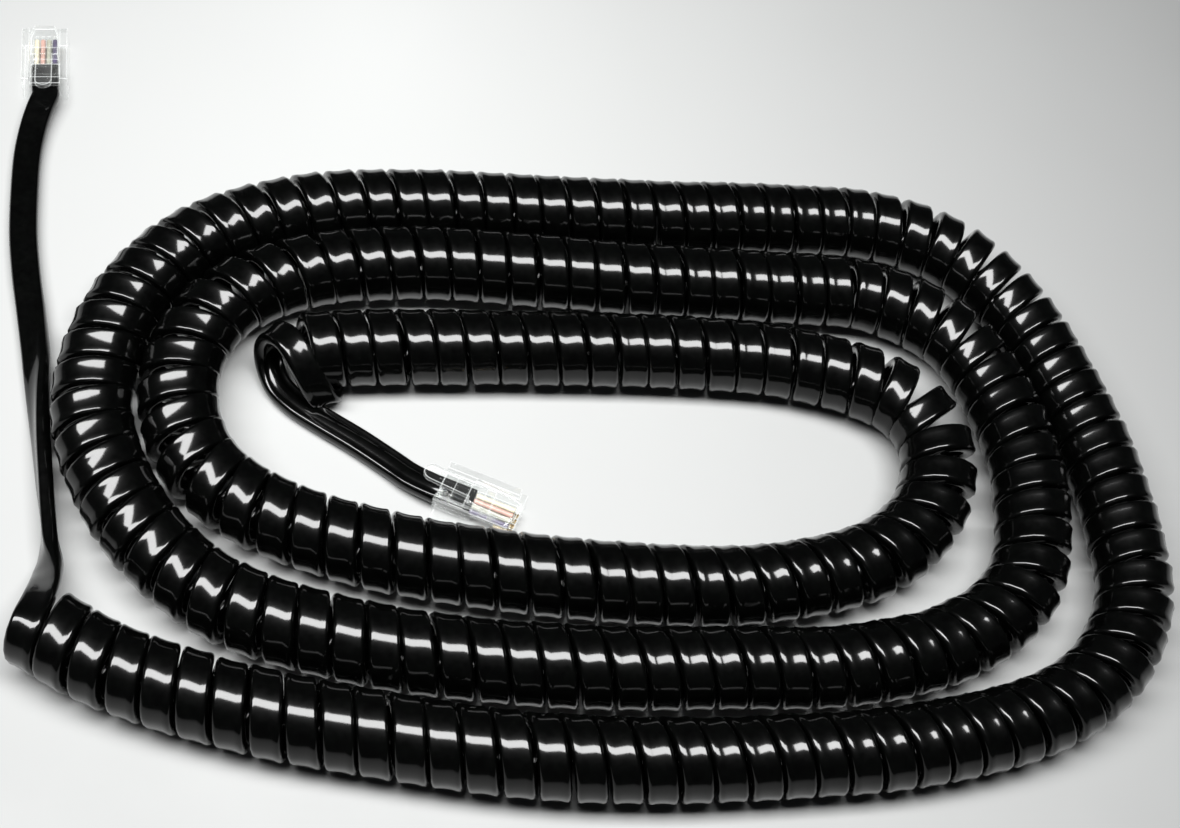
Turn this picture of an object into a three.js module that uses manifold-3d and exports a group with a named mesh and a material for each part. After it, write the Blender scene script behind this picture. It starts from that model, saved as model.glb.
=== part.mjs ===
// A coiled telephone handset cord: one long curly flat cord laid as an oval spiral of three
// loops, with a short straight flat lead and a clear 4-position plug at each end.
// Millimetres, +Z up. The origin is under the middle of the whole cord, on the surface it lies on.

import * as THREE from "three";
import { mergeVertices } from "three/addons/utils/BufferGeometryUtils.js";
import Module from "manifold-3d";

const wasm = await Module();
wasm.setup();

// ---- driving dimensions ------------------------------------------------------------------

const COIL_RADIUS = 6.2;                 // outside of the curly cord, corner to centre
const COIL_SIDES = 12;
const COIL_STEPS = 80;
const COIL_AXIS_HEIGHT = COIL_RADIUS * Math.cos(Math.PI / COIL_SIDES);

const CORD_WIDTH = 4.7;                  // the flat cord, across its wide face
const CORD_THICKNESS = 2.3;
const CORD_LIE_HEIGHT = 1.25;            // its middle, where it lies flat
const LEAD_SECTION_STEPS = 2;            // points in each rounded edge of the section
const LEAD_STEP_LENGTH = 5;
const STRAIGHT_EXIT = 1.3;               // how far a lead runs straight out of its plug

const PLUG_LENGTH = 13.1;
const PLUG_WIDTH = 7.65;
const PLUG_HEIGHT = 5.4;                 // to the top of the two side rails
const LATCH_FLOOR = 4.3;                 // top of the body between the rails
const RAIL_WIDTH = 1.28;
const NOSE_STEP = 1.1;                   // the rails stop this far short of the nose

const CORD_ENTRY_WIDTH = 5.0;            // opening in the plug's rear for the flat cord
const CORD_ENTRY_HEIGHT = 2.6;
const CORD_ENTRY_DEPTH = 5.8;
const CORD_PLUG_HEIGHT = 2.25;           // the cord's middle inside the plug
const JACKET_END = 5.4;                  // where the outer jacket is stripped, from the rear

const CONTACT_PITCH = 1.02;
const CONTACT_COUNT = 4;
const CONTACT_THICKNESS = 0.3;
const CONTACT_LENGTH = 3.1;
const CONTACT_BOTTOM = 0.45;
const CONTACT_TOP = 1.7;
const CONTACT_NOSE_GAP = 0.35;
const SLOT_WIDTH = 0.5;

const CONDUCTOR_DIAMETER = 0.9;
const CONDUCTOR_START = 5.5;
const CONDUCTOR_END = 12;
const CONDUCTOR_SIDES = 10;

const JACKET_ANCHOR = { from: 2.3, to: 4.3, width: 4.4, bottom: 3.5, top: 4.15 };
const WIRE_ANCHOR = { from: 7.2, to: 8.3, width: 4.0, bottom: 2.85, top: 4.15 };
const ANCHOR_GAP = 0.12;

const LATCH_THICKNESS = 0.9;
const LATCH_ROOT_HALF_WIDTH = 1.7;       // where it leaves the nose
const LATCH_HALF_WIDTH = 2.3;            // at the locking shoulders
const LEVER_HALF_WIDTH = 1.4;
const LATCH_ROOT_AHEAD = 0.3;
const SHOULDER_FROM_PIVOT = 7.6;
const LEVER_REACH = 15.6;
const LATCH_PIVOT = { x: 12.5, z: 4.85 };
const LATCH_REST_ANGLE = THREE.MathUtils.degToRad(6.5);

// Where each plug lies: the middle of its rear face, and the way its nose points.
const PLUG_A = { x: -88.7, y: 59.2, heading: 94.5 };
const PLUG_B = { x: -22.2, y: -20, heading: -24 };

// Centre line of the curly cord, from the outside end of the spiral to the inside end.
const COIL_ROUTE = [
  [-78, -47], [-68.5, -52.5], [-50.5, -58.5], [-31.5, -62.5], [-12, -65.5], [7.5, -66.5],
  [26.5, -66], [45.5, -64.5], [65.5, -60], [78.5, -52.5], [86, -41], [87.5, -28.5],
  [86.5, -12.5], [83, 2.5], [78, 16.5], [68.5, 28.5], [54.5, 34], [36, 34.5], [16.5, 34],
  [-3.5, 34], [-23, 34], [-42.5, 32], [-59.5, 25], [-70.5, 12.5], [-75, -2.5], [-74, -15.5],
  [-66.5, -30.5], [-54.5, -41.5], [-37.5, -47.5], [-20.5, -50.5], [-0.5, -52], [19, -52],
  [38.5, -51.5], [56.5, -47], [68.5, -37.5], [73, -22.5], [72.5, -6.5], [66, 9.5], [52.5, 18],
  [32.5, 19.5], [12.5, 20], [-6.5, 21], [-26.5, 21.5], [-44.5, 18.5], [-57, 10.5],
  [-62.5, -2.5], [-60, -16.5], [-50.5, -26], [-33.5, -32.5], [-14.5, -36], [5.5, -38],
  [25.5, -38], [44.5, -33.5], [55.5, -24], [58.5, -11.5], [52.5, -2], [36.5, 3.5], [18.5, 5],
  [-0.5, 5], [-19.5, 4.6], [-34.5, 3.9], [-42.5, 3.1],
];

// Centre lines of the two flat leads after their plugs, as [x, y, z].
const LEAD_A_ROUTE = [
  [-89.3, 55, 2], [-90, 51, 1.5], [-90.4, 45, 1.25], [-90.1, 37, 1.25], [-89.4, 28, 1.25],
  [-88.2, 20, 1.25], [-86.6, 12, 1.25], [-85.1, 4, 1.25], [-84.2, -4, 1.25], [-83, -12, 1.25],
  [-81.5, -20, 1.25], [-80.3, -27, 1.3], [-79.7, -32, 2], [-79.5, -36, 4.2],
  [-79.7, -39.6, 6.4], [-80.4, -42.6, 8.4],
];
const LEAD_B_ROUTE = [
  [-26.7, -17.3, 1.7], [-29.6, -14.8, 1.3], [-34.8, -10.8, 1.25], [-40.5, -6.9, 1.25],
  [-44.4, -4, 1.25], [-47.4, -0.6, 1.25], [-47.6, 2.6, 1.25], [-45.2, 5.4, 1.25],
];

// ---- materials -----------------------------------------------------------------------------

const material = (color, roughness, extra = {}) =>
  new THREE.MeshStandardMaterial({ color, roughness, metalness: 0, ...extra });

const MATERIALS = {
  jacket: material(0x0b0c0b, 0.25),
  clear: material(0xeef1ef, 0.08, { transparent: true, opacity: 0.35 }),
  gold: material(0xd8ae55, 0.25, { metalness: 1 }),
  wires: {
    black: material(0x2a2430, 0.45),
    green: material(0x5d7a4a, 0.45),
    red: material(0xa8493f, 0.45),
    yellow: material(0xe6d98a, 0.45),
  },
};

// ---- shape helpers ---------------------------------------------------------------------------

function welded(geometry) {
  geometry.deleteAttribute("normal");
  geometry.deleteAttribute("uv");
  return mergeVertices(geometry, 1e-5);
}

function toSolid(geometry) {
  const mesh = welded(geometry);
  return new wasm.Manifold(new wasm.Mesh({
    numProp: 3,
    vertProperties: new Float32Array(mesh.attributes.position.array),
    triVerts: new Uint32Array(mesh.index.array),
  }));
}

function toGeometry(solid) {
  const mesh = solid.getMesh();
  const geometry = new THREE.BufferGeometry();
  geometry.setAttribute("position", new THREE.BufferAttribute(new Float32Array(mesh.vertProperties), 3));
  geometry.setIndex(new THREE.BufferAttribute(new Uint32Array(mesh.triVerts), 1));
  geometry.computeVertexNormals();
  return geometry;
}

// A box between two corners.
function block(x0, x1, y0, y1, z0, z1) {
  const geometry = new THREE.BoxGeometry(x1 - x0, y1 - y0, z1 - z0);
  geometry.translate((x0 + x1) / 2, (y0 + y1) / 2, (z0 + z1) / 2);
  return geometry;
}

function named(name, geometry, look) {
  const mesh = new THREE.Mesh(geometry, look);
  mesh.name = name;
  return mesh;
}

// A section swept along a smooth curve, closed at both ends.
function sweep(section, curve, steps) {
  return new THREE.ExtrudeGeometry(section, { steps, extrudePath: curve, bevelEnabled: false });
}

function smoothCurve(points) {
  return new THREE.CatmullRomCurve3(points, false, "catmullrom", 0.5);
}

// The flat cord's section: thin along its first axis, wide along its second, with round edges.
function flatSection() {
  const straight = CORD_WIDTH / 2 - CORD_THICKNESS / 2;
  const radius = CORD_THICKNESS / 2;
  const points = [];
  for (const side of [1, -1]) {
    const first = side > 0 ? 0 : Math.PI;
    for (let k = 0; k <= LEAD_SECTION_STEPS + 1; k += 1) {
      const angle = first + (Math.PI * k) / (LEAD_SECTION_STEPS + 1);
      points.push(new THREE.Vector2(radius * Math.cos(angle), side * straight + radius * Math.sin(angle)));
    }
  }
  return new THREE.Shape(points);
}

// A regular polygon with flats facing along both axes.
function coilSection() {
  const points = [];
  for (let k = 0; k < COIL_SIDES; k += 1) {
    const angle = ((k + 0.5) * 2 * Math.PI) / COIL_SIDES;
    points.push(new THREE.Vector2(COIL_RADIUS * Math.cos(angle), COIL_RADIUS * Math.sin(angle)));
  }
  return new THREE.Shape(points);
}

// ---- the cord ----------------------------------------------------------------------------------

function coiledCord() {
  const points = COIL_ROUTE.map(([x, y]) => new THREE.Vector3(x, y, COIL_AXIS_HEIGHT));
  return named("coiled_cord", sweep(coilSection(), smoothCurve(points), COIL_STEPS), MATERIALS.jacket);
}

// A flat lead starts where its jacket is stripped inside the plug and runs out of the plug's rear.
function flatLead(name, plug, route) {
  const heading = THREE.MathUtils.degToRad(plug.heading);
  const insidePlug = [JACKET_END, JACKET_END / 2, 0, -STRAIGHT_EXIT].map((reach) => new THREE.Vector3(
    plug.x + reach * Math.cos(heading),
    plug.y + reach * Math.sin(heading),
    CORD_PLUG_HEIGHT,
  ));
  const points = insidePlug.concat(route.map((point) => new THREE.Vector3(...point)));
  const curve = smoothCurve(points);
  const steps = Math.round(curve.getLength() / LEAD_STEP_LENGTH);
  return named(name, sweep(flatSection(), curve, steps), MATERIALS.jacket);
}

// ---- the plug -----------------------------------------------------------------------------------
// Plug frame: origin at the middle of the rear face's lower edge, +X towards the nose, latch on top.

function anchorWindow(anchor) {
  return block(
    anchor.from - ANCHOR_GAP, anchor.to + ANCHOR_GAP,
    -anchor.width / 2 - ANCHOR_GAP, anchor.width / 2 + ANCHOR_GAP,
    CORD_PLUG_HEIGHT, PLUG_HEIGHT,
  );
}

function contactOffsets() {
  const offsets = [];
  for (let k = 0; k < CONTACT_COUNT; k += 1) {
    offsets.push((k - (CONTACT_COUNT - 1) / 2) * CONTACT_PITCH);
  }
  return offsets;
}

function plugBody() {
  const half = PLUG_WIDTH / 2;
  const railInside = half - RAIL_WIDTH;
  const past = 1;                                      // cutters run this far past the faces
  let body = toSolid(block(0, PLUG_LENGTH, -half, half, 0, PLUG_HEIGHT));
  const cutters = [
    block(-past, PLUG_LENGTH + past, -railInside, railInside, LATCH_FLOOR, PLUG_HEIGHT + past),
    block(PLUG_LENGTH - NOSE_STEP, PLUG_LENGTH + past, -half - past, half + past,
      LATCH_FLOOR, PLUG_HEIGHT + past),
    block(-past, CORD_ENTRY_DEPTH, -CORD_ENTRY_WIDTH / 2, CORD_ENTRY_WIDTH / 2,
      CORD_PLUG_HEIGHT - CORD_ENTRY_HEIGHT / 2, CORD_PLUG_HEIGHT + CORD_ENTRY_HEIGHT / 2),
    block(CORD_ENTRY_DEPTH - past, CONDUCTOR_END + 0.2, -2.15, 2.15,
      CORD_PLUG_HEIGHT - 0.55, CORD_PLUG_HEIGHT + 0.55),
    anchorWindow(JACKET_ANCHOR),
    anchorWindow(WIRE_ANCHOR),
  ];
  const slotStart = PLUG_LENGTH - CONTACT_NOSE_GAP - CONTACT_LENGTH - 0.1;
  for (const y of contactOffsets()) {
    cutters.push(block(slotStart, PLUG_LENGTH + past, y - SLOT_WIDTH / 2, y + SLOT_WIDTH / 2,
      -past, CORD_PLUG_HEIGHT));
  }
  for (const cutter of cutters) {
    body = body.subtract(toSolid(cutter));
  }
  return toGeometry(body);
}

// A wedge pressed down through its window on to the cord when the plug is crimped.
function anchorBar(anchor) {
  const lead = 0.35;
  const outline = new THREE.Shape([
    new THREE.Vector2(anchor.from + lead, anchor.bottom),
    new THREE.Vector2(anchor.to, anchor.bottom),
    new THREE.Vector2(anchor.to, anchor.top),
    new THREE.Vector2(anchor.from, anchor.top),
  ]);
  const geometry = new THREE.ExtrudeGeometry(outline, { depth: anchor.width, bevelEnabled: false });
  geometry.translate(0, 0, -anchor.width / 2);
  geometry.rotateX(Math.PI / 2);
  return geometry;
}

// A contact blade: a tall rounded front edge for the socket's wires and two teeth on top.
function contactBlade() {
  const toothDepth = 0.45;
  const nose = CONTACT_LENGTH;
  const outline = new THREE.Shape();
  outline.moveTo(0, CONTACT_BOTTOM + 0.3);
  outline.lineTo(0.3, CONTACT_BOTTOM);
  outline.lineTo(nose - 0.6, CONTACT_BOTTOM);
  outline.quadraticCurveTo(nose, CONTACT_BOTTOM, nose, CONTACT_BOTTOM + 0.6);
  outline.lineTo(nose, CONTACT_TOP - 0.1);
  for (const tip of [2.2, 1.0]) {
    outline.lineTo(tip + 0.45, CONTACT_TOP - toothDepth);
    outline.lineTo(tip, CONTACT_TOP);
  }
  outline.lineTo(0.5, CONTACT_TOP - toothDepth);
  outline.lineTo(0, CONTACT_TOP - 0.1);
  const geometry = new THREE.ExtrudeGeometry(outline, {
    depth: CONTACT_THICKNESS, bevelEnabled: false, curveSegments: 4,
  });
  geometry.translate(PLUG_LENGTH - CONTACT_NOSE_GAP - CONTACT_LENGTH, 0, -CONTACT_THICKNESS / 2);
  geometry.rotateX(Math.PI / 2);
  return geometry;
}

function conductor() {
  const length = CONDUCTOR_END - CONDUCTOR_START;
  const geometry = new THREE.CylinderGeometry(
    CONDUCTOR_DIAMETER / 2, CONDUCTOR_DIAMETER / 2, length, CONDUCTOR_SIDES,
  );
  geometry.rotateZ(Math.PI / 2);
  geometry.translate(CONDUCTOR_START + length / 2, 0, CORD_PLUG_HEIGHT);
  return geometry;
}

// The latch in its own frame: origin on its bending line, the lever reaching towards -X.
function latch() {
  const outline = new THREE.Shape();
  outline.moveTo(LATCH_ROOT_AHEAD, -LATCH_ROOT_HALF_WIDTH);
  outline.lineTo(LATCH_ROOT_AHEAD, LATCH_ROOT_HALF_WIDTH);
  outline.lineTo(-2, LATCH_HALF_WIDTH);
  outline.lineTo(-SHOULDER_FROM_PIVOT, LATCH_HALF_WIDTH);
  outline.lineTo(-SHOULDER_FROM_PIVOT, LEVER_HALF_WIDTH);
  outline.lineTo(-LEVER_REACH + LEVER_HALF_WIDTH, LEVER_HALF_WIDTH);
  outline.absarc(-LEVER_REACH + LEVER_HALF_WIDTH, 0, LEVER_HALF_WIDTH, Math.PI / 2, 1.5 * Math.PI);
  outline.lineTo(-SHOULDER_FROM_PIVOT, -LEVER_HALF_WIDTH);
  outline.lineTo(-SHOULDER_FROM_PIVOT, -LATCH_HALF_WIDTH);
  outline.lineTo(-2, -LATCH_HALF_WIDTH);
  outline.closePath();
  const geometry = new THREE.ExtrudeGeometry(outline, {
    depth: LATCH_THICKNESS, bevelEnabled: false, curveSegments: 8,
  });
  geometry.translate(0, 0, -LATCH_THICKNESS / 2);
  return geometry;
}

function plug(prefix, place) {
  const group = new THREE.Group();
  group.position.set(place.x, place.y, 0);
  group.rotation.z = THREE.MathUtils.degToRad(place.heading);
  group.add(named(`${prefix}_body`, plugBody(), MATERIALS.clear));

  const lever = named(`${prefix}_latch`, latch(), MATERIALS.clear);
  lever.position.set(LATCH_PIVOT.x, 0, LATCH_PIVOT.z);
  lever.rotation.y = LATCH_REST_ANGLE;
  group.add(lever);

  group.add(named(`${prefix}_jacket_anchor`, anchorBar(JACKET_ANCHOR), MATERIALS.clear));
  group.add(named(`${prefix}_wire_anchor`, anchorBar(WIRE_ANCHOR), MATERIALS.clear));

  const colours = Object.keys(MATERIALS.wires);
  contactOffsets().forEach((y, k) => {
    const blade = named(`${prefix}_contact_${k + 1}`, contactBlade(), MATERIALS.gold);
    blade.position.y = y;
    group.add(blade);
    const wire = named(`${prefix}_conductor_${colours[k]}`, conductor(), MATERIALS.wires[colours[k]]);
    wire.position.y = y;
    group.add(wire);
  });
  return group;
}

// ---- the whole cord -------------------------------------------------------------------------------

const cord = new THREE.Group();
cord.add(coiledCord());
cord.add(flatLead("lead_a", PLUG_A, LEAD_A_ROUTE));
cord.add(flatLead("lead_b", PLUG_B, LEAD_B_ROUTE));
cord.add(plug("plug_a", PLUG_A));
cord.add(plug("plug_b", PLUG_B));

export default cord;
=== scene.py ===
# A coiled telephone handset cord with a clear 4-position plug on each end, built round its CAD frame.
# The cord is one flat four-wire cable wound into a long curly helix that lies in three oval loops.
# Routes and sections are in millimetres, as in the CAD; everything made in Blender is in metres.

import math

import bmesh
import bpy
import numpy as np
from mathutils import Matrix, Vector


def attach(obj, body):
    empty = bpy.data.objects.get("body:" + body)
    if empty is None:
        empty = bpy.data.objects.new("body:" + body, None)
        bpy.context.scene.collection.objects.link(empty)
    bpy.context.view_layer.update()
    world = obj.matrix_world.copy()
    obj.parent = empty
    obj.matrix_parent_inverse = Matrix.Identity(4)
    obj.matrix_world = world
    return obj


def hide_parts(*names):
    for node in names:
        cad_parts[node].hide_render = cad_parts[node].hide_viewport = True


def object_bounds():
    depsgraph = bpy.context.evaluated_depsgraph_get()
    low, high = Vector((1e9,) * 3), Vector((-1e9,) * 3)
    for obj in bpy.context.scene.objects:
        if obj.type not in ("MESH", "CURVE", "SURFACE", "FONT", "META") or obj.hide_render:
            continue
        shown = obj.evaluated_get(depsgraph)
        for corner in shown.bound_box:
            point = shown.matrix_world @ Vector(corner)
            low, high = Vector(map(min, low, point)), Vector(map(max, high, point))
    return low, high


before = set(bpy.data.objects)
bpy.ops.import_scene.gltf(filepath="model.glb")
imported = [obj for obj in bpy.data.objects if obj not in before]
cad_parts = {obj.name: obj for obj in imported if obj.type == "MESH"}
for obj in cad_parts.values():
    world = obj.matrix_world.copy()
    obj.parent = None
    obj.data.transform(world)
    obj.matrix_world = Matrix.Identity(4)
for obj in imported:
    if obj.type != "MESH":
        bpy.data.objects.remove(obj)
cad_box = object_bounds()

MM = 0.001
UP = np.array([0.0, 0.0, 1.0])

# ---- driving dimensions, in millimetres ------------------------------------------------------------

CORD_WIDTH = 4.62
CORD_THICKNESS = 2.3
CORD_PLUG_HEIGHT = 2.25                  # the cord's middle inside a plug
JACKET_END = 5.4                         # where the jacket is stripped, from the plug's rear
STRAIGHT_EXIT = 1.3                      # how far a lead runs straight out of its plug
LEAD_A_STEPS = 6                         # rings from one point of lead A's route to the next
LEAD_B_STEPS = 8

COIL_RADIUS = 6.2                        # outside of the curly cord
WINDING_RADIUS = COIL_RADIUS - CORD_THICKNESS / 2
ROUTE_STEPS = 60                         # samples from one point of the coil's route to the next
AXIS_STEP = 0.25                         # between samples of the curly cord's axis
BEND_SMOOTHING = 61                      # samples of the axis over which its bend is averaged
TURNS = 202
BEND_OPENING = 0.55                      # how far a bend opens the turns: 1 if they touched inside it
FILLED = 0.985                           # how much of its room a squeezed turn fills
RINGS_PER_TURN = 21
FIRST_ANGLE = math.radians(112)          # where the lead has become the first turn
LAST_ANGLE = math.radians(200)           # where the last regular turn starts to open

# How the turns lean along the cord where it runs towards -Y and back from +Y, how far they
# are skewed where it runs towards +X, and how unevenly they are wound.
LEAN_DOWN = math.radians(14)
LEAN_UP = math.radians(4)
SKEW = -0.1
LEAN_JITTER = math.radians(2.5)
SKEW_JITTER = 0.035
RADIUS_JITTER = 0.09
PITCH_JITTER = 0.12
UNEVENNESS_SEED = 7

# Where each plug lies: the middle of its rear face, and the way its nose points.
PLUG_A = (-88.7, 59.2, math.radians(94.5))
PLUG_B = (-22.2, -20, math.radians(-24))

# Centre line of the curly cord, from the outside end of the spiral to the inside end.
COIL_ROUTE = [
    (-80, -45.9), (-68.5, -52.5), (-50.5, -58.5), (-31.5, -62.5), (-12, -65.5), (7.5, -66.5),
    (26.5, -66), (45.5, -64.5), (65.5, -60), (78.5, -52.5), (86, -41), (87.5, -28.5),
    (86.5, -12.5), (83, 2.5), (78, 16.5), (68.5, 28.5), (54.5, 34), (36, 34.5), (16.5, 34),
    (-3.5, 34), (-23, 34), (-42.5, 32), (-59.5, 25), (-70.5, 12.5), (-75, -2.5), (-74, -15.5),
    (-66.5, -30.5), (-54.5, -41.5), (-37.5, -47.5), (-20.5, -50.5), (-0.5, -52), (19, -52),
    (38.5, -51.5), (56.5, -47), (68.5, -37.5), (73, -22.5), (72.5, -6.5), (66, 9.5), (52.5, 18),
    (32.5, 19.5), (12.5, 20), (-6.5, 21), (-26.5, 21.5), (-44.5, 18.5), (-57, 10.5), (-62.5, -2.5),
    (-60, -16.5), (-50.5, -26), (-33.5, -32.5), (-14.5, -36), (5.5, -38), (25.5, -38),
    (44.5, -33.5), (55.5, -24), (58.5, -11.5), (52.5, -2), (36.5, 3.5), (18.5, 5), (-0.5, 5),
    (-19.5, 4.6), (-34.5, 3.9), (-42.5, 3.1),
]

# Lead A from its plug to the coil: position, then the way its outer face looks.
LEAD_A_ROUTE = [
    ((-89.3, 55, 2), (0, 0, 1)),
    ((-90, 51, 1.5), (0, 0, 1)),
    ((-90.4, 45, 1.2), (0, 0, 1)),
    ((-90.1, 37, 1.2), (0, 0, 1)),
    ((-89.4, 28, 1.2), (0, 0, 1)),
    ((-88.2, 20, 1.2), (0, 0, 1)),
    ((-86.6, 12, 1.3), (-0.2, 0, 1)),
    ((-85.1, 4, 1.8), (-0.5, 0, 0.87)),
    ((-84, -4, 2.2), (-0.85, 0, 0.55)),
    ((-82.8, -12, 2.4), (-0.96, 0, 0.3)),
    ((-81.5, -20, 2.4), (-0.98, 0, 0.17)),
    ((-80.3, -27, 2.4), (-1, 0, 0.05)),
    ((-79.8, -32, 2.7), (-0.95, 0.1, 0.3)),
    ((-79.4, -36, 4.3), (-0.6, 0.4, 0.7)),
    ((-79.3, -39.8, 6.9), (-0.2, 0.5, 0.83)),
    ((-79.6, -43.4, 9.4), (-0.05, 0.4, 0.9)),
]

# The last turn, opened out, and lead B to its plug, in the same form.
LEAD_B_ROUTE = [
    ((-41, 5, 2.4), (0.3, 0.8, -0.5)),
    ((-39.4, 0.2, 1.25), (0, 0, -1)),
    ((-40, -3.6, 2.6), (0.4, -0.7, -0.6)),
    ((-41.8, -3.6, 6), (0.5, -0.86, 0)),
    ((-43.8, -1.6, 9.3), (0.35, -0.6, 0.7)),
    ((-46, 1.4, 11), (0, 0, 1)),
    ((-48.2, 4, 9.3), (-0.5, 0.5, 0.7)),
    ((-49.4, 4.6, 6), (-0.8, 0.6, 0)),
    ((-49, 3, 2.8), (-0.5, 0.4, -0.77)),
    ((-47.4, -0.6, 1.3), (0, 0, -1)),
    ((-44.4, -4, 1.2), (0, 0, -1)),
    ((-40.5, -6.9, 1.2), (0, 0, -1)),
    ((-34.8, -10.8, 1.2), (0, 0, -1)),
    ((-29.6, -14.8, 1.3), (0, 0, -1)),
    ((-26.7, -17.3, 1.7), (0, 0, -1)),
]

# The cord's section: across it, then outwards. Winding has left its outer face slightly hollow
# between two rounded rims, and its inner face has two shallow grooves between its wires.
OUTER_FACE = [(0, 1.0), (0.95, 1.05), (1.58, 1.15), (1.9, 1.08), (2.14, 0.84), (2.28, 0.42)]
INNER_FACE = [(2.28, -0.3), (1.98, -1.0), (1.45, -1.14), (1.15, -0.88), (0.75, -1.14), (0, -1.16)]


# ---- camera -----------------------------------------------------------------------------------------

CAMERA_DISTANCE = 294.9
CAMERA_ELEVATION = math.radians(55.18)
CAMERA_AZIMUTH = math.radians(-17)
CAMERA_ROLL = math.radians(15.62)
CAMERA_AIM = (3.06, -3.5)                # on the floor, from the middle of the cord
CAMERA_LENS = 54.9


def make_camera():
    low, high = cad_box
    aim = Vector(((low.x + high.x) / 2, (low.y + high.y) / 2, low.z))
    aim += Vector((CAMERA_AIM[0], CAMERA_AIM[1], 0)) * MM
    flat = math.cos(CAMERA_ELEVATION)
    back = Vector((
        math.sin(CAMERA_AZIMUTH) * flat,
        -math.cos(CAMERA_AZIMUTH) * flat,
        math.sin(CAMERA_ELEVATION),
    ))
    camera = bpy.data.objects.new("camera", bpy.data.cameras.new("camera"))
    camera.data.lens = CAMERA_LENS
    camera.data.sensor_width = 36
    camera.data.clip_start = 0.01
    camera.rotation_mode = "QUATERNION"
    camera.location = aim + back * CAMERA_DISTANCE * MM
    upright = (-back).to_track_quat("-Z", "Y").to_matrix()
    camera.rotation_quaternion = (upright @ Matrix.Rotation(CAMERA_ROLL, 3, "Z")).to_quaternion()
    bpy.context.scene.collection.objects.link(camera)
    bpy.context.scene.camera = camera


# ---- curves and meshes ------------------------------------------------------------------------------

def unit(rows):
    return rows / np.linalg.norm(rows, axis=-1, keepdims=True)


def smooth_line(points, per_step):
    """Catmull-Rom curve through the points, the ends mirrored, with per_step samples between each two."""
    points = np.array(points, float)
    before = 2 * points[0] - points[1]
    after = 2 * points[-1] - points[-2]
    padded = np.vstack([before, points, after])
    samples = []
    for k in range(len(points) - 1):
        a, b, c, d = padded[k:k + 4]
        for t in np.arange(per_step) / per_step:
            samples.append(0.5 * (
                2 * b + (c - a) * t + (2 * a - 5 * b + 4 * c - d) * t ** 2
                + (3 * b - a - 3 * c + d) * t ** 3
            ))
    samples.append(points[-1])
    return np.array(samples)


def lengths_along(line):
    steps = np.linalg.norm(np.diff(line, axis=0), axis=1)
    return np.concatenate([[0], np.cumsum(steps)])


def mesh_object(name, vertices, faces, smooth=True):
    mesh = bpy.data.meshes.new(name)
    mesh.from_pydata([tuple(v) for v in vertices], [], faces)
    if smooth:
        mesh.shade_smooth()
    piece = bpy.data.objects.new(name, mesh)
    bpy.context.scene.collection.objects.link(piece)
    return piece


# ---- the cord ---------------------------------------------------------------------------------------

def coil_axis():
    """The curly cord's axis, evenly sampled: length so far, place, heading and signed bend."""
    line = smooth_line(COIL_ROUTE, ROUTE_STEPS)
    along = lengths_along(line)
    steps = np.arange(0, along[-1], AXIS_STEP)
    line = np.column_stack([np.interp(steps, along, line[:, k]) for k in range(2)])
    direction = unit(np.gradient(line, axis=0))
    heading = np.unwrap(np.arctan2(direction[:, 1], direction[:, 0]))
    bend = np.gradient(heading, steps)
    bend = np.pad(bend, BEND_SMOOTHING // 2, mode="edge")
    bend = np.convolve(bend, np.ones(BEND_SMOOTHING) / BEND_SMOOTHING, mode="valid")
    return steps, line, heading, bend


def uneven(angle, generator, size):
    """A smooth uneven amount along the turns, from random knots, one for each turn."""
    knots = generator.uniform(-1, 1, TURNS + 3)
    where = angle / (2 * math.pi)
    low = np.floor(where).astype(int)
    t = where - low
    t = t * t * (3 - 2 * t)
    return size * (knots[low] * (1 - t) + knots[low + 1] * t)


def coil_rings():
    """Middle, outward direction and width of each ring of the helix."""
    steps, line, heading, bend = coil_axis()
    last = TURNS * 2 * math.pi + LAST_ANGLE
    openness = 1 / (1 - BEND_OPENING * COIL_RADIUS * np.abs(bend))
    turning = np.concatenate([[0], np.cumsum(1 / openness[:-1])])
    turning_speed = (last - FIRST_ANGLE) / turning[-1]
    turning = FIRST_ANGLE + turning * turning_speed
    pitch = openness * 2 * math.pi / turning_speed * AXIS_STEP
    angle = np.linspace(FIRST_ANGLE, last, TURNS * RINGS_PER_TURN)
    where = np.interp(angle, turning, steps)

    generator = np.random.default_rng(UNEVENNESS_SEED)
    radius = WINDING_RADIUS + uneven(angle, generator, RADIUS_JITTER)
    where = where + uneven(angle, generator, PITCH_JITTER)
    turned = np.interp(where, steps, heading)
    skew = SKEW * np.maximum(0, np.cos(turned)) + uneven(angle, generator, SKEW_JITTER)
    towards = -np.sin(turned)
    lean = towards * np.abs(towards) * np.where(towards > 0, LEAN_DOWN, LEAN_UP)
    lean = lean + uneven(angle, generator, LEAN_JITTER)

    forward = np.column_stack([np.cos(turned), np.sin(turned), np.zeros(len(angle))])
    left = np.column_stack([-np.sin(turned), np.cos(turned), np.zeros(len(angle))])
    leaning_up = np.cos(lean)[:, None] * UP + np.sin(lean)[:, None] * forward
    outward = np.cos(angle)[:, None] * left + np.sin(angle)[:, None] * leaning_up
    height = COIL_RADIUS * np.cos(lean) + CORD_WIDTH / 2 * np.abs(np.sin(lean))
    middle = np.column_stack([np.interp(where, steps, line[:, k]) for k in range(2)] + [height])
    middle = middle + radius[:, None] * outward
    middle = middle + (skew * np.cos(angle) * WINDING_RADIUS)[:, None] * forward

    local_bend = np.interp(where, steps, bend)
    room = np.interp(where, steps, pitch) * (1 - local_bend * WINDING_RADIUS * np.cos(angle))
    width = np.minimum(CORD_WIDTH, room * FILLED)
    return middle, outward, width


def plug_rows(plug, reaches, outer_face):
    """Route rows on a plug's middle line, at the given reaches from its rear face."""
    x, y, heading = plug
    return [
        ((x + r * math.cos(heading), y + r * math.sin(heading), CORD_PLUG_HEIGHT), outer_face)
        for r in reaches
    ]


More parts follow.
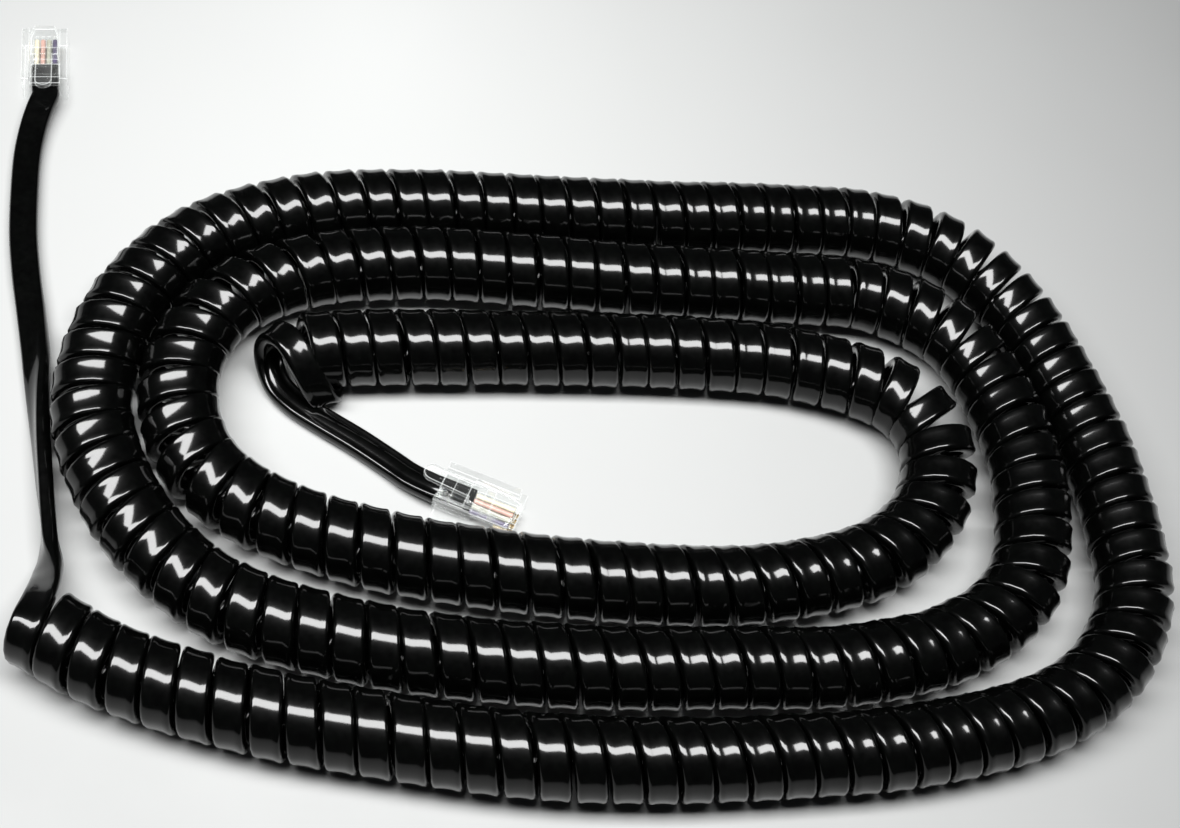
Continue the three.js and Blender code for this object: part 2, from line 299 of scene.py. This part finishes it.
def lead_rings(rows, per_step):
    """The same three things as coil_rings, for a lead's route rows."""
    middle = smooth_line([row[0] for row in rows], per_step)
    outward = unit(smooth_line([row[1] for row in rows], per_step))
    return middle, outward, np.full(len(middle), CORD_WIDTH)


def cord_rings():
    """Middle, outward and sideways direction and width of each ring, from plug A to plug B."""
    coil = coil_rings()
    reaches = (JACKET_END, JACKET_END / 2, 0, -STRAIGHT_EXIT)

    # Each lead's route also takes in two rings of the coil, so that it meets the coil in line
    # with it. The rings made from there on are the coil's own, and are dropped.
    into_coil = [(tuple(coil[0][k]), tuple(coil[1][k])) for k in (0, 3)]
    rows = plug_rows(PLUG_A, reaches, (0, 0, 1)) + LEAD_A_ROUTE + into_coil
    lead_a = [part[:-(LEAD_A_STEPS + 1)] for part in lead_rings(rows, LEAD_A_STEPS)]
    out_of_coil = [(tuple(coil[0][k]), tuple(coil[1][k])) for k in (-4, -1)]
    rows = out_of_coil + LEAD_B_ROUTE + plug_rows(PLUG_B, reaches[::-1], (0, 0, -1))
    lead_b = [part[LEAD_B_STEPS + 1:] for part in lead_rings(rows, LEAD_B_STEPS)]

    middle, outward, width = (np.concatenate(parts) for parts in zip(lead_a, coil, lead_b))
    along = unit(np.gradient(middle, axis=0))
    outward = unit(outward - np.sum(outward * along, axis=1, keepdims=True) * along)
    across = np.cross(along, outward)
    return middle, outward, across, width


def cord_section():
    """The closed section, in order round the cord."""
    right = OUTER_FACE + INNER_FACE
    left = [(-a, b) for a, b in reversed(right) if a]
    return np.array(right + left)


def make_cord(material):
    """The whole cord as one piece, and its centre line in metres."""
    middle, outward, across, width = cord_rings()
    section = cord_section()
    n = len(section)
    scale = width / CORD_WIDTH
    rings = (
        middle[:, None, :]
        + section[None, :, :1] * scale[:, None, None] * across[:, None, :]
        + section[None, :, 1:] * outward[:, None, :]
    )
    vertices = rings.reshape(-1, 3) * MM
    count = len(middle)
    faces = []
    for r in range(count - 1):
        for k in range(n):
            a = r * n + k
            b = r * n + (k + 1) % n
            faces.append((a, b, b + n, a + n))
    faces.append(tuple(range(n))[::-1])
    faces.append(tuple((count - 1) * n + k for k in range(n)))
    piece = mesh_object("handset_cord", vertices, faces)
    piece.data.materials.append(material)
    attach(piece, "root")
    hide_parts("lead_a", "coiled_cord", "lead_b")
    return piece, middle * MM


# ---- materials --------------------------------------------------------------------------------------

NOISE_LOW = 0.3                          # nearly all of a noise texture's values are in between
NOISE_HIGH = 0.7


def new_material(name, **inputs):
    material = bpy.data.materials.new(name)
    material.use_nodes = True
    shader = material.node_tree.nodes["Principled BSDF"]
    for socket, value in inputs.items():
        shader.inputs[socket.replace("_", " ")].default_value = value
    return material, shader


def node(material, kind, **values):
    made = material.node_tree.nodes.new(kind)
    for key, value in values.items():
        if key in made.inputs:
            made.inputs[key].default_value = value
        else:
            setattr(made, key, value)
    return made


def link(material, a, b):
    material.node_tree.links.new(a, b)


def noise(material, scale, detail=3.0):
    place = node(material, "ShaderNodeTexCoord")
    made = node(material, "ShaderNodeTexNoise", Scale=scale, Detail=detail)
    link(material, place.outputs["Object"], made.inputs["Vector"])
    return made.outputs["Fac"]


def spread(material, value, low, high, into):
    """Drives a shader input between low and high by a noise value."""
    made = node(material, "ShaderNodeMapRange")
    made.inputs["From Min"].default_value = NOISE_LOW
    made.inputs["From Max"].default_value = NOISE_HIGH
    made.inputs["To Min"].default_value = low
    made.inputs["To Max"].default_value = high
    link(material, value, made.inputs["Value"])
    link(material, made.outputs["Result"], into)


def colours(material, shader, value, dark, pale, ends=(NOISE_LOW, NOISE_HIGH)):
    """Drives the base colour between two colours by a value that goes from one end to the other."""
    made = node(material, "ShaderNodeValToRGB")
    for element, position, colour in zip(made.color_ramp.elements, ends, (dark, pale)):
        element.position = position
        element.color = (*colour, 1)
    link(material, value, made.inputs["Fac"])
    link(material, made.outputs["Color"], shader.inputs["Base Color"])


def bump(material, shader, value, distance):
    made = node(material, "ShaderNodeBump", Distance=distance, Strength=1.0)
    link(material, value, made.inputs["Height"])
    link(material, made.outputs["Normal"], shader.inputs["Normal"])


def see_through(material, shader, tint):
    """Mixes the shader over a clear one. Gives the input that says how much of it shows."""
    clear = node(material, "ShaderNodeBsdfTransparent", Color=tint)
    mix = node(material, "ShaderNodeMixShader")
    surface = material.node_tree.nodes["Material Output"].inputs["Surface"]
    link(material, clear.outputs["BSDF"], mix.inputs[1])
    link(material, shader.outputs["BSDF"], mix.inputs[2])
    link(material, mix.outputs["Shader"], surface)
    return mix.inputs["Fac"]


def jacket_material():
    """Black plastic under a thin smooth skin, which carries the sharp highlights."""
    material, shader = new_material(
        "black_pvc", IOR=1.5, Specular_IOR_Level=0.03,
        Coat_Weight=1.0, Coat_IOR=1.35, Coat_Roughness=0.11,
    )
    colours(material, shader, noise(material, 420),
            (0.0002, 0.0002, 0.0002), (0.0005, 0.0006, 0.0005))
    spread(material, noise(material, 900, 5.0), 0.3, 0.44, shader.inputs["Roughness"])
    bump(material, shader, noise(material, 1500, 4.0), 0.00001)
    return material


def clear_material():
    """Clear plastic: it is seen through, and mirrors more the more it is seen edge on."""
    material, shader = new_material("clear_polycarbonate", Metallic=0.86)
    colours(material, shader, noise(material, 300), (0.90, 0.92, 0.91), (0.97, 0.98, 0.97))
    spread(material, noise(material, 1200, 4.0), 0.03, 0.10, shader.inputs["Roughness"])
    bump(material, shader, noise(material, 900), 0.00001)
    edge = node(material, "ShaderNodeLayerWeight", Blend=0.5)
    steep = node(material, "ShaderNodeMath", operation="POWER")
    steep.inputs[1].default_value = 3.0
    share = node(material, "ShaderNodeMapRange")
    share.inputs["To Min"].default_value = 0.02
    share.inputs["To Max"].default_value = 0.95
    link(material, edge.outputs["Facing"], steep.inputs[0])
    link(material, steep.outputs["Value"], share.inputs["Value"])
    link(material, share.outputs["Result"], see_through(material, shader, (0.99, 0.994, 0.992, 1)))
    return material


def painted_edge_highlight_material():
    """Pale grey painted on the rounded edges of clear plastic: a painted highlight that stands in for the
    light they gather, showing as pale lines.
    """
    material, shader = new_material("clear_edge_painted_highlight", Roughness=0.2)
    colours(material, shader, noise(material, 700), (0.62, 0.64, 0.63), (0.70, 0.72, 0.71))
    bump(material, shader, noise(material, 900), 0.00001)
    see_through(material, shader, (1, 1, 1, 1)).default_value = 0.3
    return material


def contact_material():
    material, shader = new_material("gold_plate", Metallic=1.0)
    colours(material, shader, noise(material, 2500), (0.78, 0.53, 0.20), (0.95, 0.70, 0.32))
    spread(material, noise(material, 3500, 5.0), 0.16, 0.34, shader.inputs["Roughness"])
    return material


def wire_material(name, colour):
    material, shader = new_material(f"{name}_wire_pvc")
    darker = tuple(c * 0.8 for c in colour)
    colours(material, shader, noise(material, 1600), darker, colour)
    spread(material, noise(material, 2400, 4.0), 0.3, 0.48, shader.inputs["Roughness"])
    bump(material, shader, noise(material, 2800, 4.0), 0.00002)
    return material


def floor_material():
    """Pale cloth under a painted pool of light: palest just behind the middle of the cord and darker away
    from there.
    """
    material, shader = new_material("pale_backdrop_painted_light")
    place = node(material, "ShaderNodeTexCoord")
    # Painted light: a spherical fade, centred just behind the middle of the cord, makes the floor palest
    # there and darker away from it, as the softbox's light falls off.
    painted_light_spot = node(material, "ShaderNodeMapping", vector_type="TEXTURE")
    painted_light_spot.inputs["Location"].default_value = (-0.03, 0.085, 0)
    painted_light_spot.inputs["Scale"].default_value = (0.235, 0.37, 1)
    painted_light_falloff = node(material, "ShaderNodeTexGradient", gradient_type="SPHERICAL")
    link(material, place.outputs["Object"], painted_light_spot.inputs["Vector"])
    link(material, painted_light_spot.outputs["Vector"], painted_light_falloff.inputs["Vector"])
    # Adds a little cloudy tone of the cloth to the painted light fade.
    cloth_tone_and_painted_light = node(material, "ShaderNodeMath", operation="MULTIPLY_ADD")
    cloth_tone_and_painted_light.inputs[1].default_value = 0.06
    link(material, noise(material, 9), cloth_tone_and_painted_light.inputs[0])
    link(material, painted_light_falloff.outputs["Fac"], cloth_tone_and_painted_light.inputs[2])
    colours(material, shader, cloth_tone_and_painted_light.outputs["Value"],
            (0.105, 0.107, 0.106), (0.312, 0.316, 0.313), ends=(0.0, 1.0))
    spread(material, noise(material, 40, 4.0), 0.7, 0.85, shader.inputs["Roughness"])
    return material


# ---- the plugs --------------------------------------------------------------------------------------

WIRE_COLOURS = {
    "black": (0.045, 0.032, 0.08),
    "green": (0.30, 0.30, 0.24),
    "red": (0.42, 0.25, 0.21),
    "yellow": (0.54, 0.49, 0.37),
}

SAME_POINT = 0.01                        # corners of the CAD mesh nearer than this are one corner
FLAT_ENOUGH = math.radians(1)            # faces that meet at less than this become one face
SHARP_FROM = math.radians(30)            # edges that turn by more than this are rounded


def moulded(name, cad_node, body, slot, material, round_edge, edge=None):
    """A CAD solid made again with clean faces and rounded edges; the edges take their own material if
    given (on clear plastic, a painted highlight).
    """
    piece = bpy.data.objects.new(name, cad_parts[cad_node].data.copy())
    piece.data.name = name
    bpy.context.scene.collection.objects.link(piece)
    work = bmesh.new()
    work.from_mesh(piece.data)
    bmesh.ops.remove_doubles(work, verts=work.verts, dist=SAME_POINT * MM)
    bmesh.ops.dissolve_limit(work, angle_limit=FLAT_ENOUGH, verts=work.verts, edges=work.edges)
    work.to_mesh(piece.data)
    work.free()
    piece.data.materials.clear()
    piece.data.materials.append(material)
    rounding = piece.modifiers.new("round_edges", "BEVEL")
    rounding.width = round_edge * MM
    rounding.segments = 2
    rounding.use_clamp_overlap = False
    # The edge material given for clear plastic paints a pale highlight on its rounded edges.
    if edge:
        piece.data.materials.append(edge)
        rounding.material = 1
    if slot == "clear_plastic":          # or its many layers would keep the light off the wires
        piece.visible_shadow = False
    rounding.limit_method = "ANGLE"
    rounding.angle_limit = SHARP_FROM
    rounding.harden_normals = True
    piece.data.shade_smooth()
    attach(piece, body)
    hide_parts(cad_node)
    return piece


def make_plug(prefix, latch_body, looks):
    """A plug's twelve pieces: the housing, the lever, two wedges, four blades and four wires."""
    # The housing and the lever get the painted edge highlight on their rounded edges.
    pieces = [
        moulded(f"{prefix}_housing", f"{prefix}_body", "root", "clear_plastic",
                looks["clear"], 0.1, looks["edge"]),
        moulded(f"{prefix}_lever", f"{prefix}_latch", latch_body, "clear_plastic",
                looks["clear"], 0.12, looks["edge"]),
    ]
    for part in ("jacket", "wire"):
        pieces.append(moulded(f"{prefix}_{part}_wedge", f"{prefix}_{part}_anchor", "root",
                              "clear_plastic", looks["clear"], 0.08))
    for k in range(1, 5):
        pieces.append(moulded(f"{prefix}_blade_{k}", f"{prefix}_contact_{k}", "root",
                              "contact_gold", looks["gold"], 0.04))
    for colour in WIRE_COLOURS:
        pieces.append(moulded(f"{prefix}_wire_{colour}", f"{prefix}_conductor_{colour}", "root",
                              f"wire_{colour}", looks[colour], 0.12))
    return pieces


# ---- floor and light --------------------------------------------------------------------------------

def make_floor(material):
    size = 1.6
    top = -0.0002
    floor = mesh_object("floor", [
        (-size, -size, top), (size, -size, top), (size, size, top), (-size, size, top),
    ], [(0, 1, 2, 3)], smooth=False)
    floor.data.materials.append(material)


def make_lights():
    """One long softbox, above the cord's left side and shining straight down, in a dim room."""
    softbox = bpy.data.objects.new("overhead_softbox", bpy.data.lights.new("overhead_softbox", "AREA"))
    softbox.data.shape = "RECTANGLE"
    softbox.data.size = 0.65
    softbox.data.size_y = 0.15
    softbox.data.energy = 9.7
    softbox.location = (-0.125, -0.06, 0.46)
    bpy.context.scene.collection.objects.link(softbox)
    world = bpy.data.worlds.new("studio")
    world.use_nodes = True
    world.node_tree.nodes["Background"].inputs["Color"].default_value = (0.9, 0.95, 1.0, 1)
    world.node_tree.nodes["Background"].inputs["Strength"].default_value = 0.03
    bpy.context.scene.world = world
    bpy.context.scene.view_settings.view_transform = "Standard"


# ---- everything -------------------------------------------------------------------------------------

make_camera()
cord, cord_path = make_cord(jacket_material())
# The edge look paints a pale highlight onto the clear plastic's rounded edges.
looks = {"clear": clear_material(), "edge": painted_edge_highlight_material(), "gold": contact_material()}
looks.update({name: wire_material(name, colour) for name, colour in WIRE_COLOURS.items()})
make_plug("plug_a", "latch_a", looks)
plug_b = make_plug("plug_b", "latch_b", looks)
make_floor(floor_material())
make_lights()
